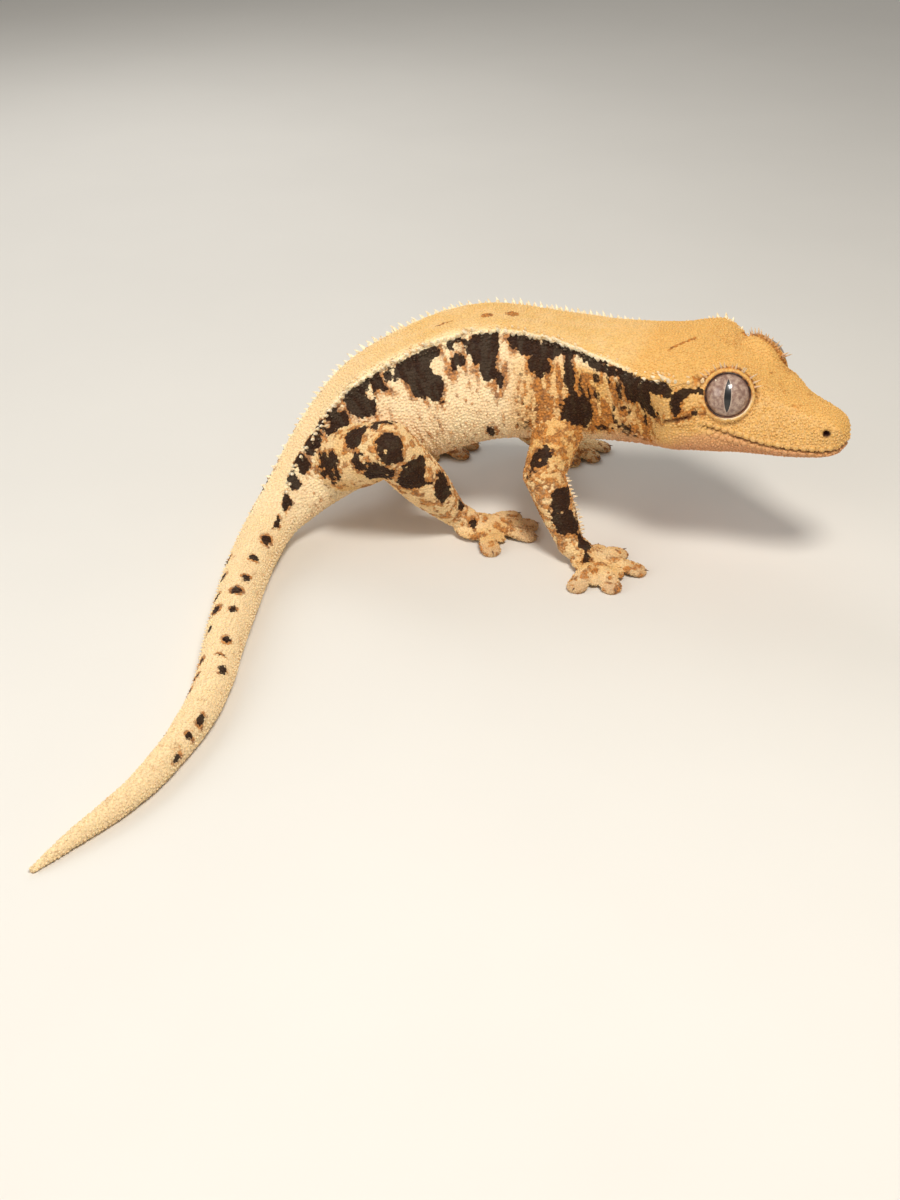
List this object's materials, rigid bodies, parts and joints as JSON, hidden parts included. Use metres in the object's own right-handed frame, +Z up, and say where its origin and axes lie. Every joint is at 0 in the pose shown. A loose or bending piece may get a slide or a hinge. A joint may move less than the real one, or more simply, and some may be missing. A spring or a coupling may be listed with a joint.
{
  "type": "crested gecko",
  "caption": "Life-size still model of a crested gecko standing on four legs, head turned, tail laid on the floor.",
  "frame": {"origin": "middle of the bounding box, on the floor the gecko stands on", "axes": "+Z up, the head end towards +X, the animal's right side towards -Y"},
  "size_m": [0.1218, 0.1366, 0.0398],
  "materials": {
    "skin": "matte",
    "eye": "gloss"
  },
  "bodies": {
    "root": {"head": "skin", "eye_right": "eye", "eye_left": "eye", "neck": "skin", "chest": "skin", "abdomen": "skin", "pelvis": "skin", "tail_1": "skin", "tail_2": "skin", "tail_3": "skin", "tail_4": "skin", "upper_arm_right": "skin", "forearm_right": "skin", "hand_right": "skin", "upper_arm_left": "skin", "forearm_left": "skin", "hand_left": "skin", "thigh_right": "skin", "shank_right": "skin", "foot_right": "skin", "thigh_left": "skin", "shank_left": "skin", "foot_left": "skin"}
  },
  "joints": []
}
